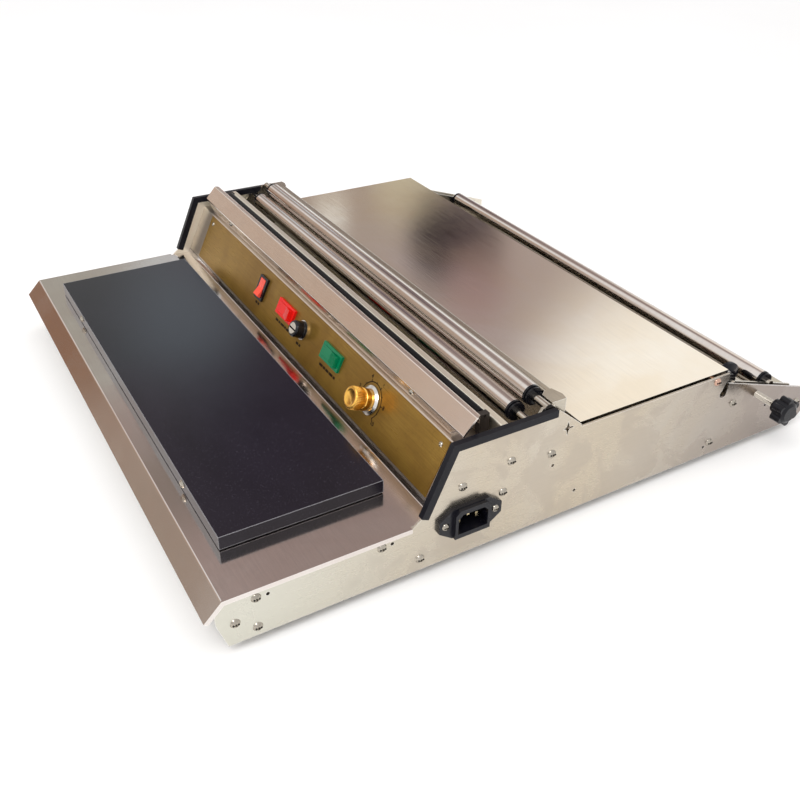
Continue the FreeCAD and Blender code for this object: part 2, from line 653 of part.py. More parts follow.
ROLLER_BRACKET = [
    (217.0, 58.0), (252.0, 52.0), (260.0, 56.0), (257.0, 88.0), (254.6, 97.4), (245.0, 97.4),
    (241.0, 91.2), (230.0, 89.4), (214.5, 74.0), (214.5, 62.0),
]
CRADLE_BRACKET = [
    (429.0, 36.0), (510.0, 13.0), (522.0, 13.0), (522.0, 22.6), (512.5, 22.6), (512.5, 33.4), (429.0, 61.6),
]
for side_name, side_sign in (("right", 1), ("left", -1)):
    slotted_bracket(
        "roller_bracket_" + side_name, ROLLER_BRACKET, TOP_ROLLERS.values(),
        [(219.7, 65.4), (254.3, 58.7)], 236.0, side_sign,
    )
    slotted_bracket(
        "cradle_bracket_" + side_name, CRADLE_BRACKET, CRADLE_ROLLERS.values(),
        [(435.3, 42.8), (516.8, 18.7)], 232.2, side_sign,
        through=[(STOP_SCREW[0], STOP_SCREW[1], THREAD + FIT)] if side_sign > 0 else (),
    )

guide = new_body("film_guide")
GUIDE_PATH = raised([(265.0, 84.0), (265.0, 98.0), (258.6, 98.0), (258.6, 88.0)])
pad(guide, "YZ", folded_sheet(GUIDE_PATH, GAUGE, 0.6), 444.0, middle=True)
for sign in (-1, 1):
    ear = polygon([
        (sign * 221.0, 258.7), (sign * 224.4, 254.3), (sign * 235.8, 254.3), (sign * 235.8, 266.4),
        (sign * 230.0, 267.4), (sign * 221.0, 264.9),
    ])
    pad(guide, "XY", ear, GAUGE, offset=height(98.0) - GAUGE)
    drop = polygon(raised([(254.3, 98.0), (266.4, 98.0), (266.4, 87.0), (262.0, 87.0), (254.3, 93.0)]))
    pad(guide, "YZ", drop, GAUGE, offset=sign * 235.2 - GAUGE / 2)

# ---------------------------------------------------------------- table plate and its pivots
T_FRONT = size("table_front")
T_REAR = size("table_rear")
T_HALF = size("table_width") / 2.0
T_TOP = size("table_top")
SKIRT = size("table_skirt")
table = new_body("table_plate", FreeCAD.Placement(V(0, 0, height(T_TOP - SKIRT)), FreeCAD.Rotation()))
pad(table, "XY", box(-T_HALF, T_HALF, T_FRONT, T_REAR), "Sizes.table_skirt")
inside = box(-T_HALF + GAUGE, T_HALF - GAUGE, T_FRONT + GAUGE, T_REAR - GAUGE)
pocket(table, "XY", inside, "Sizes.table_skirt - Sizes.sheet_gauge", flip=True)
for edge_y in (T_FRONT, T_REAR):
    relief = box(-T_HALF + GAUGE, T_HALF - GAUGE, edge_y - 2.0, edge_y + 2.0)
    pocket(table, "XY", relief, "Sizes.table_skirt - 7", flip=True)
pivot_hole = circles((TABLE_PIVOT[0], TABLE_PIVOT[1] - (T_TOP - SKIRT), PIVOT_R + FIT))
pocket(table, "YZ", pivot_hole, 2 * T_HALF + 10.0, middle=True)

pivots = []
for sign in (-1, 1):
    face = V(sign * SIDE_OUTER, TABLE_PIVOT[0], height(TABLE_PIVOT[1]))
    pivots.append(dome_screw(face, V(sign, 0, 0), 3.3, PIVOT_R, SIDE_OUTER - T_HALF + GAUGE + 1.5))
solids_group("table_pivot_screws", pivots)

# ---------------------------------------------------------------- roll stop screw and star knob
STOP_Y, STOP_Z = STOP_SCREW
screw = new_body("stop_screw", along_x(214.0, STOP_Y, height(STOP_Z)))
revolve(screw, [(0.0, 0.0), (THREAD, 0.0), (THREAD, 52.0), (0.0, 52.0)])
stop_pad = new_body("stop_pad", along_x(207.0, STOP_Y, height(STOP_Z)))
revolve(stop_pad, [(0.0, 0.0), (11.0, 0.0), (12.0, 1.0), (12.0, 4.0), (6.0, 7.0), (0.0, 7.0)])
star = new_body("star_knob", along_x(259.5, STOP_Y, height(STOP_Z)))
STAR_R = size("star_knob_radius")
STAR_LONG = size("star_knob_length")
revolve(star, [
    (THREAD, 0.0), (5.5, 0.0), (6.0, 3.5), (STAR_R - 2.6, 4.5), (STAR_R - 2.6, STAR_LONG - 1.5),
    (STAR_R - 5.0, STAR_LONG), (0.0, STAR_LONG), (0.0, 6.5), (THREAD, 6.5),
])
LOBES = 6
for lobe in range(LOBES):
    around = math.radians(360.0 / LOBES * lobe)
    lobe_x = (STAR_R - 2.9) * math.cos(around)
    lobe_y = (STAR_R - 2.9) * math.sin(around)
    pad(star, "XY", circles((lobe_x, lobe_y, 2.9)), STAR_LONG - 6.3, offset=4.8)

# ---------------------------------------------------------------- mains inlet
IN_Y, IN_Z = INLET_CENTRE
inlet = new_body("inlet_housing", FreeCAD.Placement(V(SIDE_OUTER, IN_Y, height(IN_Z)), FreeCAD.Rotation()))
FLANGE = [
    (-25.0, -4.5), (-14.5, -12.0), (14.5, -12.0), (25.0, -4.5),
    (25.0, 4.5), (14.5, 12.0), (-14.5, 12.0), (-25.0, 4.5),
]
pad(inlet, "YZ", polygon(FLANGE), 3.0)
RAISED_RIM = [(-14.0, -11.5), (14.0, -11.5), (14.0, 8.0), (10.5, 11.5), (-10.5, 11.5), (-14.0, 8.0)]
pad(inlet, "YZ", polygon(RAISED_RIM), 6.0)
pad(inlet, "YZ", box(-13.2, 13.2, -9.8, 9.8), 16.0, flip=True)
SOCKET = [(-11.8, -7.9), (11.8, -7.9), (11.8, 4.6), (8.4, 7.9), (-8.4, 7.9), (-11.8, 4.6)]
pocket(inlet, "YZ", polygon(SOCKET), 18.5, offset=6.0)
pocket(inlet, "YZ", circles((-20.0, 0.0, 1.6), (20.0, 0.0, 1.6)), 6.0, offset=3.0)
pins = []
for pin_y, pin_z in ((-7.0, -2.0), (0.0, 2.0), (7.0, -2.0)):
    pin_corner = V(SIDE_OUTER - 12.5, IN_Y + pin_y - 1.0, height(IN_Z) + pin_z - 2.0)
    pins.append(Part.makeBox(12.0, 2.0, 4.0, pin_corner))
solids_group("inlet_pins", pins)
inlet_screws = []
for offset_y in (-20.0, 20.0):
    spot = V(SIDE_OUTER + 3.0, IN_Y + offset_y, height(IN_Z))
    inlet_screws.append(dome_screw(spot, V(1, 0, 0), 2.8, 1.6, 3.0))
solids_group("inlet_screws", inlet_screws)

# ---------------------------------------------------------------- casing screws
HEAD = size("screw_head_radius")
casing_screws = []
for side_sign in (-1, 1):
    for screw_y, screw_z in SIDE_SCREWS:
        spot = V(side_sign * SIDE_OUTER, screw_y, height(screw_z))
        casing_screws.append(dome_screw(spot, V(side_sign, 0, 0), HEAD, 1.6, PLATE))
solids_group("casing_screws", casing_screws)

# ---------------------------------------------------------------- move to the origin
nodes = []
for item in DOC.Objects:
    if item.TypeId == "PartDesign::Body" or item.TypeId == "Part::Feature":
        nodes.append(item)
to_origin = FreeCAD.Placement(V(-size("centre_x"), -size("centre_y"), 0), FreeCAD.Rotation())
for node in nodes:
    node.Placement = to_origin.multiply(node.Placement)

# ---------------------------------------------------------------- checks and files
DOC.recompute()
problems = []
for item in DOC.Objects:
    if "Invalid" in item.State or "Error" in item.State:
        problems.append(item.Label + " is " + ", ".join(item.State))
for node in nodes:
    if node.Shape.isNull() or not node.Shape.isValid():
        problems.append(node.Label + " has no valid shape")
if problems:
    raise RuntimeError("; ".join(problems))
if len(nodes) > 60:
    raise RuntimeError("too many sub-parts")

os.makedirs("parts", exist_ok=True)
for node in nodes:
    node.Shape.exportStep(os.path.join("parts", node.Label + ".step"))
    print(f"{node.Label}: {len(node.Shape.Solids)} solid(s), {node.Shape.Volume / 1000.0:.2f} cm3")
print(len(nodes), "sub-parts")
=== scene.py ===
import bpy
import json
import math
from mathutils import Matrix, Vector


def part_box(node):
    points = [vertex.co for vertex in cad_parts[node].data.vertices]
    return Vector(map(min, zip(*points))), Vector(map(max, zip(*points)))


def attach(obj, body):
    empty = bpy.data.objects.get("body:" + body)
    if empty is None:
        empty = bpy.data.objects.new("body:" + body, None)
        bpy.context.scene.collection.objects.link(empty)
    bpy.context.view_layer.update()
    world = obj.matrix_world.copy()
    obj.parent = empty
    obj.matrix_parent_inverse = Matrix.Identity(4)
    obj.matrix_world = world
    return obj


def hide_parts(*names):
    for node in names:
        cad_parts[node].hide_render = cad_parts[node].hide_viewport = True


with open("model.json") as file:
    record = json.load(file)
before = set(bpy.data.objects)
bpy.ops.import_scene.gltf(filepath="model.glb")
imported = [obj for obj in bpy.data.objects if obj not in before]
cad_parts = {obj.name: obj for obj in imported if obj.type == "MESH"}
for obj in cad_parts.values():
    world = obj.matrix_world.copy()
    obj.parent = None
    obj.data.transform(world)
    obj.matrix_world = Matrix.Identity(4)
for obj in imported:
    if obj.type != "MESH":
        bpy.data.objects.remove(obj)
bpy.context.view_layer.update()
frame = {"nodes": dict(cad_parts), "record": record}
NODES = frame["nodes"]
MM = 0.001


# ---------------------------------------------------------------- node helpers
class Net:
    """A small builder for one shader node tree."""

    def __init__(self, tree):
        self.tree = tree
        self.nodes = tree.nodes
        self.nodes.clear()

    def add(self, kind, **settings):
        node = self.nodes.new(kind)
        for key, value in settings.items():
            if key in node.inputs.keys():
                node.inputs[key].default_value = value
            else:
                setattr(node, key, value)
        return node

    def join(self, source, target):
        self.tree.links.new(source, target)

    def feed(self, socket, value):
        """Link a socket, or set a plain number or colour."""
        if hasattr(value, "is_linked"):
            self.join(value, socket)
        elif socket.type == "RGBA":
            socket.default_value = (*value[:3], 1.0)
        else:
            socket.default_value = value

    def math(self, operation, a, b=0.0, clamp=False):
        node = self.nodes.new("ShaderNodeMath")
        node.operation = operation
        node.use_clamp = clamp
        self.feed(node.inputs[0], a)
        self.feed(node.inputs[1], b)
        return node.outputs[0]

    def mix(self, factor, a, b, blend="MIX"):
        node = self.nodes.new("ShaderNodeMix")
        node.data_type = "RGBA"
        node.blend_type = blend
        self.feed(node.inputs[0], factor)
        self.feed(node.inputs[6], a)
        self.feed(node.inputs[7], b)
        return node.outputs[2]

    def ramp(self, factor, low, high, a=0.0, b=1.0):
        node = self.nodes.new("ShaderNodeMapRange")
        node.interpolation_type = "SMOOTHSTEP"
        self.join(factor, node.inputs[0])
        for slot, value in ((1, low), (2, high), (3, a), (4, b)):
            node.inputs[slot].default_value = value
        return node.outputs[0]

    def place(self, scale=(1, 1, 1), rotation=(0, 0, 0), location=(0, 0, 0)):
        coordinates = self.nodes.new("ShaderNodeTexCoord")
        mapping = self.nodes.new("ShaderNodeMapping")
        mapping.inputs["Scale"].default_value = scale
        mapping.inputs["Rotation"].default_value = rotation
        mapping.inputs["Location"].default_value = location
        self.join(coordinates.outputs["Object"], mapping.inputs["Vector"])
        return mapping.outputs[0]

    def noise(self, vector, scale, detail=4.0, rough=0.55, distortion=0.0):
        node = self.add(
            "ShaderNodeTexNoise", Scale=scale, Detail=detail, Roughness=rough, Distortion=distortion
        )
        self.join(vector, node.inputs["Vector"])
        return node.outputs[0]

    def swing(self, centre, signal, amount):
        """centre plus signal, where signal runs round 0.5, times amount."""
        return self.math("ADD", centre, self.math("MULTIPLY", self.math("SUBTRACT", signal, 0.5), amount))

    def along(self, axis, low, high):
        """0 to 1 across part of a piece's box, in shares of its length on that axis."""
        split = self.add("ShaderNodeSeparateXYZ")
        self.join(self.add("ShaderNodeTexCoord").outputs["Generated"], split.inputs[0])
        return self.ramp(split.outputs[axis], low, high)

    def bump(self, height, strength, distance, under=None):
        node = self.add("ShaderNodeBump", Strength=strength, Distance=distance)
        self.join(height, node.inputs["Height"])
        if under is not None:
            self.join(under, node.inputs["Normal"])
        return node.outputs[0]

    def edge(self, radius):
        """0 on flat faces, rising to 1 on outer corners narrower than radius."""
        rounded = self.add("ShaderNodeBevel", Radius=radius, samples=4)
        flat = self.add("ShaderNodeNewGeometry")
        dot = self.add("ShaderNodeVectorMath", operation="DOT_PRODUCT")
        self.join(rounded.outputs[0], dot.inputs[0])
        self.join(flat.outputs["True Normal"], dot.inputs[1])
        return self.ramp(dot.outputs["Value"], 0.995, 0.93)


def new_material(name):
    material = bpy.data.materials.new(name)
    material.use_nodes = True
    net = Net(material.node_tree)
    shader = net.add("ShaderNodeBsdfPrincipled")
    output = net.add("ShaderNodeOutputMaterial")
    net.join(shader.outputs[0], output.inputs[0])
    return material, net, shader


def shaded(colour, factor):
    """Colour times one number, or times a number per channel."""
    if not hasattr(factor, "__len__"):
        factor = (factor,) * 3
    return [c * f for c, f in zip(colour, factor)]


def sheet_steel(
    name, tint, rough, grain, smear, mottle=0.3, blotch=0.0, wave=0.1, streak=0.25, pale_edge=0.5, painted_reflection_gradient=0.0
):
    """Stainless sheet: drawn grain, wipe marks, blotches, worn edges and slight waves.

    grain is the noise scale on each axis, smear and mottle tint the wipe marks, blotch is the strength of
    dull patches, the last argument is the strength of painted shade towards the rear and switches on a
    painted reflection, paler and bluer at the front; wave and the pale edge width are in millimetres.
    are the strength of dull patches and of rearward staining, wave and worn are in millimetres.
    """
    material, net, shader = new_material(name)
    shader.inputs["Metallic"].default_value = 1.0
    fine = net.noise(net.place(scale=grain), 1.0, 3.0, 0.6)
    broad = net.noise(net.place(), 8.0, 4.0, 0.6, 0.6)
    marks = net.noise(net.place(location=(3.1, 1.7, 0.4)), 34.0, 5.0, 0.65, 1.2)
    patches = net.noise(net.place(location=(7.3, 0.6, 2.2)), 26.0, 3.0, 0.55, 0.7)
    tone = net.mix(net.ramp(broad, 0.3, 0.7), tint, shaded(tint, smear))
    tone = net.mix(net.ramp(marks, 0.52, 0.76, 0.0, mottle), tone, shaded(tint, 0.80))
    tone = net.mix(net.ramp(patches, 0.46, 0.60, 0.0, blotch), tone, shaded(tint, (0.84, 0.80, 0.77)))
    tone = net.mix(net.ramp(fine, 0.35, 0.75, 0.0, streak), tone, shaded(tint, 0.66))
    # Painted reflection and painted shade: paler and bluer at the front, darker and more purple at the rear.
    if painted_reflection_gradient:
        tone = net.mix(net.along("Y", 0.0, 0.35), shaded(tint, (1.09, 1.16, 1.18)), tone)
        rear_shade_mask = net.math("MULTIPLY", net.along("Y", 0.55, 1.0), painted_reflection_gradient)
        tone = net.mix(rear_shade_mask, tone, shaded(tint, (0.44, 0.40, 0.45)))
    # Paler outer edges: edge wear with a painted highlight along every edge.
    tone = net.mix(net.edge(pale_edge * MM), tone, (0.95, 0.94, 0.92))
    net.join(tone, shader.inputs["Base Color"])
    roughness = net.swing(net.swing(rough, broad, 0.10), fine, 0.12)
    roughness = net.math("ADD", roughness, net.ramp(patches, 0.50, 0.60, 0.0, 0.12 * blotch), clamp=True)
    net.join(roughness, shader.inputs["Roughness"])
    grainy = net.bump(fine, 0.25, 0.00005)
    billow = net.noise(net.place(location=(0.2, 5.0, 1.0)), 7.0, 2.0, 0.5)
    net.join(net.bump(billow, 0.6, wave * MM, grainy), shader.inputs["Normal"])
    return material


def plastic(name, colour, rough, grain=0.1, scale=900.0, sheen=0.3, glow=0.0, lift=1.3, rub=0.35):
    """Moulded plastic or rubber: fine skin texture, faint mottling and rubbed, paler edges.

    lift brightens the mottling, rub is the strength of the pale edges.
    """
    material, net, shader = new_material(name)
    skin = net.noise(net.place(), scale, 3.0, 0.6)
    cloud = net.noise(net.place(location=(2, 1, 0)), 70.0, 3.0, 0.6)
    pale = [min(1.0, c * lift + 0.003) for c in colour]
    pale_edge = [min(1.0, c * 1.6 + 0.03) for c in colour]
    tone = net.mix(net.ramp(cloud, 0.3, 0.75), colour, pale)
    tone = net.mix(net.math("MULTIPLY", net.edge(0.4 * MM), rub), tone, pale_edge)
    net.join(tone, shader.inputs["Base Color"])
    net.join(net.swing(rough, cloud, 0.2), shader.inputs["Roughness"])
    shader.inputs["Specular IOR Level"].default_value = sheen
    if glow:
        shader.inputs["Emission Color"].default_value = (*colour, 1.0)
        shader.inputs["Emission Strength"].default_value = glow
    net.join(net.bump(skin, grain, 0.00008), shader.inputs["Normal"])
    return material


def small_metal(name, colour, rough, grain=(400, 400, 400), wear=0.12):
    """Small turned or plated metal parts."""
    material, net, shader = new_material(name)
    shader.inputs["Metallic"].default_value = 1.0
    fine = net.noise(net.place(scale=grain), 1.0, 3.0, 0.6)
    cloud = net.noise(net.place(), 120.0, 3.0, 0.6)
    net.join(net.mix(net.ramp(cloud, 0.35, 0.75), colour, shaded(colour, 0.78)), shader.inputs["Base Color"])
    net.join(net.swing(rough, fine, wear), shader.inputs["Roughness"])
    net.join(net.bump(fine, 0.15, 0.00004), shader.inputs["Normal"])
    return material


def hot_plate_coating():
    """Dark blue-black non-stick coating: fine speckle, painted bluish sheen at left, scuffs, rubbed edges.
    """
    material, net, shader = new_material("hot_plate_coating")
    speck = net.noise(net.place(), 900.0, 2.0, 0.6)
    cloud = net.noise(net.place(scale=(0.6, 1, 1)), 11.0, 4.0, 0.6, 0.4)
    scuff = net.noise(net.place(scale=(14, 220, 220), rotation=(0, 0, 0.18)), 1.0, 4.0, 0.6)
    base = net.mix(net.ramp(cloud, 0.3, 0.7), (0.005, 0.004, 0.008), (0.010, 0.008, 0.015))
    base = net.mix(net.ramp(speck, 0.58, 0.72, 0.0, 0.4), base, (0.045, 0.042, 0.056))
    base = net.mix(net.ramp(scuff, 0.66, 0.80, 0.0, 0.2), base, (0.06, 0.06, 0.07))
    # Painted sheen: a bluish painted reflection, strongest at the left of the plate and gone by the middle.
    base = net.mix(net.math("MULTIPLY", net.along("X", 0.60, 0.35), 0.4), base, (0.018, 0.023, 0.031))
    base = net.mix(net.edge(0.8 * MM), base, (0.34, 0.34, 0.36))
    net.join(base, shader.inputs["Base Color"])
    net.join(net.swing(0.17, cloud, 0.08), shader.inputs["Roughness"])
    shader.inputs["Specular IOR Level"].default_value = 0.42
    net.join(net.bump(speck, 0.30, 0.00004), shader.inputs["Normal"])
    return material


def gold_sheet():
    """Lacquered gold panel sheet: grain along X, cloudy tarnish and fine specks."""
    material, net, shader = new_material("gold_overlay")
    shader.inputs["Metallic"].default_value = 0.6
    shader.inputs["Specular IOR Level"].default_value = 0.3
    grain = net.noise(net.place(scale=(40, 1300, 1300)), 1.0, 3.0, 0.6)
    cloud = net.noise(net.place(), 16.0, 4.0, 0.6, 0.8)
    speck = net.noise(net.place(), 420.0, 3.0, 0.7)
    tone = net.mix(net.ramp(cloud, 0.3, 0.7), (0.34, 0.20, 0.038), (0.23, 0.125, 0.022))
    tone = net.mix(net.ramp(grain, 0.35, 0.7, 0.0, 0.45), tone, (0.17, 0.095, 0.018))
    tone = net.mix(net.ramp(speck, 0.55, 0.75, 0.0, 0.4), tone, (0.13, 0.07, 0.014))
    net.join(tone, shader.inputs["Base Color"])
    net.join(net.swing(net.swing(0.30, cloud, 0.12), grain, 0.12), shader.inputs["Roughness"])
    net.join(net.bump(grain, 0.2, 0.00005), shader.inputs["Normal"])
    return material


# ---------------------------------------------------------------- materials
ALONG_X = (60, 1300, 1300)
MAUVE = (0.90, 0.84, 0.82)
CREAM = (0.97, 0.92, 0.84)
TRAY_STEEL = sheet_steel(
    "tray_steel", (0.78, 0.74, 0.71), 0.12, ALONG_X, MAUVE, 0.30, 0.2, 0.10, 0.2, pale_edge=0.4
)
TABLE_STEEL = sheet_steel(
    "table_steel", (0.87, 0.85, 0.81), 0.11, (25, 1000, 1000), CREAM, 0.10, 0.0, 0.12, 0.1
)
SIDE_STEEL = sheet_steel(
    "side_steel", (0.56, 0.515, 0.445), 0.26, (900, 40, 900), CREAM, 0.20, 0.6, 0.10, 0.12, painted_reflection_gradient=0.75
)
# Left plate: a lighter copy of the side steel, painted light, and rougher.
SIDE_STEEL_PAINTED_LIGHTER = sheet_steel(
    "side_steel_painted_lighter", (0.92, 0.88, 0.78), 0.46, (900, 40, 900), CREAM, 0.2, 0.3, 0.10, 0.12
)
GUARD_STEEL = sheet_steel("guard_steel", (0.86, 0.79, 0.72), 0.22, ALONG_X, MAUVE, 0.20, 0.15, 0.06)
PANEL_STEEL = sheet_steel("panel_steel", (0.72, 0.66, 0.58), 0.30, ALONG_X, MAUVE, 0.25, 0.2, 0.06)
INNER_STEEL = sheet_steel("inner_steel", (0.52, 0.49, 0.43), 0.24, (60, 900, 900), CREAM, 0.35, 0.2, 0.08)
ROLLER_STEEL = sheet_steel("roller_steel", (0.74, 0.70, 0.66), 0.12, (1200, 30, 30), MAUVE, 0.15, 0.0, 0.01)
STRIP_STEEL = sheet_steel("strip_steel", (0.95, 0.93, 0.84), 0.32, ALONG_X, CREAM, 0.2, 0.1, 0.06)
SCREW_STEEL = small_metal("screw_steel", (0.58, 0.53, 0.46), 0.14)
# Screw heads: a darker copy of the screw steel, painted shade over the whole dome.
HEAD_STEEL_PAINTED_SHADE = small_metal("screw_head_steel_painted_darker", (0.44, 0.40, 0.34), 0.16)
COPPER = small_metal("copper_screw", (0.60, 0.38, 0.29), 0.20)
ALUMINIUM = small_metal("turned_aluminium", (0.72, 0.70, 0.66), 0.22)
BRASS = small_metal("pin_brass", (0.75, 0.62, 0.38), 0.25)
KNOB_GOLD = small_metal("knob_gold", (1.0, 0.56, 0.12), 0.22)
RUBBER = plastic("rubber", (0.004, 0.004, 0.007), 0.36, grain=0.35, scale=700, sheen=0.2)
BLACK = plastic("black_plastic", (0.004, 0.004, 0.006), 0.16, grain=0.1, sheen=0.3)
STAR_BLACK = plastic("star_black", (0.004, 0.004, 0.006), 0.28, grain=0.2, sheen=0.22)
INLET_BLACK = plastic("inlet_black", (0.004, 0.004, 0.007), 0.28, grain=0.15, sheen=0.3)
CORAL = plastic("coral_plastic", (0.72, 0.075, 0.045), 0.16, grain=0.04, sheen=0.3, glow=0.05)
RED = plastic("red_plastic", (0.62, 0.008, 0.005), 0.14, grain=0.03, sheen=0.2, glow=0.10, lift=1.15)
GREEN = plastic("green_plastic", (0.0, 0.150, 0.060), 0.14, grain=0.03, sheen=0.2, glow=0.05, lift=1.15)
BOARD = plastic("mineral_board", (0.52, 0.49, 0.42), 0.8, grain=0.5)
BLOCK = plastic("end_block", (0.020, 0.014, 0.011), 0.5, grain=0.4)
MICA = plastic("mica", (0.30, 0.22, 0.13), 0.6, grain=0.3)
DARK_BAR = plastic("dark_bar", (0.003, 0.003, 0.004), 0.34, grain=0.2, sheen=0.15)
INK = plastic("printed_ink", (0.010, 0.006, 0.003), 0.6, grain=0.2, sheen=0.1, rub=0.0)
# Black plugs in the screw heads: painted shade in the sockets.
PAINTED_SOCKET_SHADE = plastic("screw_socket_painted_shade", (0.004, 0.004, 0.004), 0.6, grain=0.2, sheen=0.1, rub=0.0)
HOT = hot_plate_coating()
GOLD = gold_sheet()

FINISH = {
    "front_tray": TRAY_STEEL, "table_plate": TABLE_STEEL, "side_plate_right": SIDE_STEEL,
    "side_plate_left": SIDE_STEEL_PAINTED_LIGHTER, "cutter_guard": GUARD_STEEL, "film_guide": INNER_STEEL,
    "film_support_strip": STRIP_STEEL, "hot_plate": HOT, "panel_overlay": GOLD,
    "edge_trim_right": RUBBER, "edge_trim_left": RUBBER, "rubber_feet": RUBBER, "stop_pad": RUBBER,
    "star_knob": STAR_BLACK, "inlet_housing": INLET_BLACK, "fuse_holder": ALUMINIUM, "fuse_cap": BLACK,
    "power_switch_body": BLACK, "seal_switch_body": RED, "cut_switch_body": GREEN,
    "thermostat_body": BLACK, "power_rocker": CORAL, "seal_rocker": RED, "cut_rocker": GREEN,
    "temperature_knob": KNOB_GOLD, "knob_skirt": ALUMINIUM, "cutter_bar": DARK_BAR,
    "cutter_end_blocks": BLOCK, "insulation_board": BOARD, "heater_element": MICA,
    "inlet_pins": BRASS, "table_pivot_screws": COPPER, "control_panel": PANEL_STEEL,
}


def finish_of(name):
    """Material of a CAD node, by its name."""
    if name in FINISH:
        return FINISH[name]
    if name.endswith("_caps"):
        return BLACK
    if name.endswith("_tube"):
        return ROLLER_STEEL
    if name.endswith("_screws"):
        return HEAD_STEEL_PAINTED_SHADE
    if name.endswith("_shaft") or name == "stop_screw":
        return SCREW_STEEL
    return INNER_STEEL


SOFT_EDGE = {
    "front_tray": 0.5, "hot_plate": 1.1, "table_plate": 0.9, "side_plate_right": 0.4,
    "side_plate_left": 0.4, "cutter_guard": 0.5, "edge_trim_right": 1.2, "edge_trim_left": 1.2,
    "inlet_housing": 0.8, "power_switch_body": 0.7, "seal_switch_body": 0.7, "cut_switch_body": 0.7,
    "power_rocker": 0.6, "seal_rocker": 0.6, "cut_rocker": 0.6, "film_guide": 0.4,
    "film_support_strip": 0.4, "star_knob": 0.6, "panel_overlay": 0.15, "fuse_cap": 0.4,
}
for name, node in NODES.items():
    material = finish_of(name)
    if not node.material_slots:
        node.data.materials.append(material)
    for material_slot in node.material_slots:
        material_slot.link = "DATA"
        material_slot.material = material
    if name in SOFT_EDGE:
        bevel = node.modifiers.new("edge", "BEVEL")
        bevel.width = SOFT_EDGE[name] * MM
        bevel.segments = 3
        bevel.limit_method = "ANGLE"
        bevel.angle_limit = math.radians(40)
        bevel.harden_normals = True


# ---------------------------------------------------------------- detail pieces
SHARP_ANGLE = math.radians(38)


def mesh_piece(name, vertices, faces, material, body, smooth=True):
    """New piece from vertices and faces, riding on a body."""
    mesh = bpy.data.meshes.new(name)
    mesh.from_pydata([tuple(v) for v in vertices], [], faces)
    mesh.validate()
    mesh.materials.append(material)
    mesh.polygons.foreach_set("use_smooth", [smooth] * len(mesh.polygons))
    if smooth:
        mesh.set_sharp_from_angle(angle=SHARP_ANGLE)
    piece = bpy.data.objects.new(name, mesh)
    bpy.context.scene.collection.objects.link(piece)
    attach(piece, body)
    return piece


def turned(profile, around, wobble):
    """Vertices and faces of (radius, height) rings about Z. wobble(angle, ring) changes a radius."""
    vertices = []
    faces = []
    for ring, (radius, height) in enumerate(profile):
        for step in range(around):
            angle = 2 * math.pi * step / around
            r = radius + wobble(angle, ring)
            vertices.append(Vector((r * math.cos(angle), r * math.sin(angle), height)))
    for ring in range(len(profile) - 1):
        for step in range(around):
            nxt = (step + 1) % around
            a, b = ring * around, (ring + 1) * around
            faces.append((a + step, a + nxt, b + nxt, b + step))
    faces.append(tuple(range(around))[::-1])
    faces.append(tuple((len(profile) - 1) * around + step for step in range(around)))
    return vertices, faces


PANEL_TILT = math.radians(64.7)
PANEL_UP = Vector((0, math.cos(PANEL_TILT), math.sin(PANEL_TILT)))
PANEL_OUT = Vector((0, -math.sin(PANEL_TILT), math.cos(PANEL_TILT)))
PANEL_TURN = Matrix((Vector((1, 0, 0)), PANEL_UP, PANEL_OUT)).transposed()
OVERLAY_HALF = 0.25 * MM
overlay_low, overlay_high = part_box("panel_overlay")
OVERLAY_FACE = (overlay_low + overlay_high) / 2.0 + PANEL_OUT * OVERLAY_HALF
PRINT_LIFT = 0.03 * MM
JOINTS = frame["record"]["behaviour"]["joints"]
PIVOT = {joint["name"]: Vector(joint["pos_m"]) for joint in JOINTS if "pos_m" in joint}
CONTROLS = {
    "power": "power_rocker_tilt", "seal": "seal_rocker_tilt", "cut": "cut_rocker_tilt",
    "fuse": "fuse_cap_turn", "knob": "temperature_knob_turn",
}


def on_panel(control, x, up, out=0.0):
    """Point on the overlay's face: x and up from a control's centre, out from the face."""
    pivot = PIVOT[CONTROLS[control]]
    foot = pivot - PANEL_OUT * (pivot - OVERLAY_FACE).dot(PANEL_OUT)
    return foot + Vector((x, 0, 0)) + PANEL_UP * up + PANEL_OUT * out


# Knob: knurled front part and a smooth waist, on the CAD knob's own axis. Heights are above
# the overlay's face.
KNOB_R = 8.8 * MM
KNOB_TALL = 18.5 * MM
KNOB_BASE = 2.6 * MM
FLUTES = 44
FLUTE_DEPTH = 0.22 * MM
knob_profile = [
    (3.1 * MM, KNOB_BASE), (KNOB_R - 0.5 * MM, KNOB_BASE), (KNOB_R - 0.3 * MM, KNOB_BASE + 0.3 * MM),
    (KNOB_R - 0.3 * MM, 8.3 * MM), (KNOB_R - 0.6 * MM, 8.6 * MM), (KNOB_R - 1.1 * MM, 8.9 * MM),
    (KNOB_R - 1.1 * MM, 9.7 * MM), (KNOB_R - 0.5 * MM, 10.1 * MM), (KNOB_R, 10.6 * MM),
    (KNOB_R, 16.8 * MM), (KNOB_R - 0.3 * MM, 17.6 * MM), (KNOB_R - 1.0 * MM, 18.3 * MM),
    (KNOB_R - 1.6 * MM, KNOB_TALL), (KNOB_R - 2.4 * MM, KNOB_TALL), (KNOB_R - 2.9 * MM, 18.2 * MM),
    (KNOB_R - 3.3 * MM, 17.9 * MM), (0.2 * MM, 17.9 * MM),
]
FLUTED_RINGS = range(8, 11)


def flute(angle, ring):
    return FLUTE_DEPTH * (math.cos(FLUTES * angle) - 1.0) if ring in FLUTED_RINGS else 0.0


knob_points, knob_faces = turned(knob_profile, FLUTES * 6, flute)
knob_points = [on_panel("knob", 0, 0) + PANEL_TURN @ p for p in knob_points]
knob = mesh_piece("knurled_knob", knob_points, knob_faces, KNOB_GOLD, "temperature_knob")
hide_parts("temperature_knob")

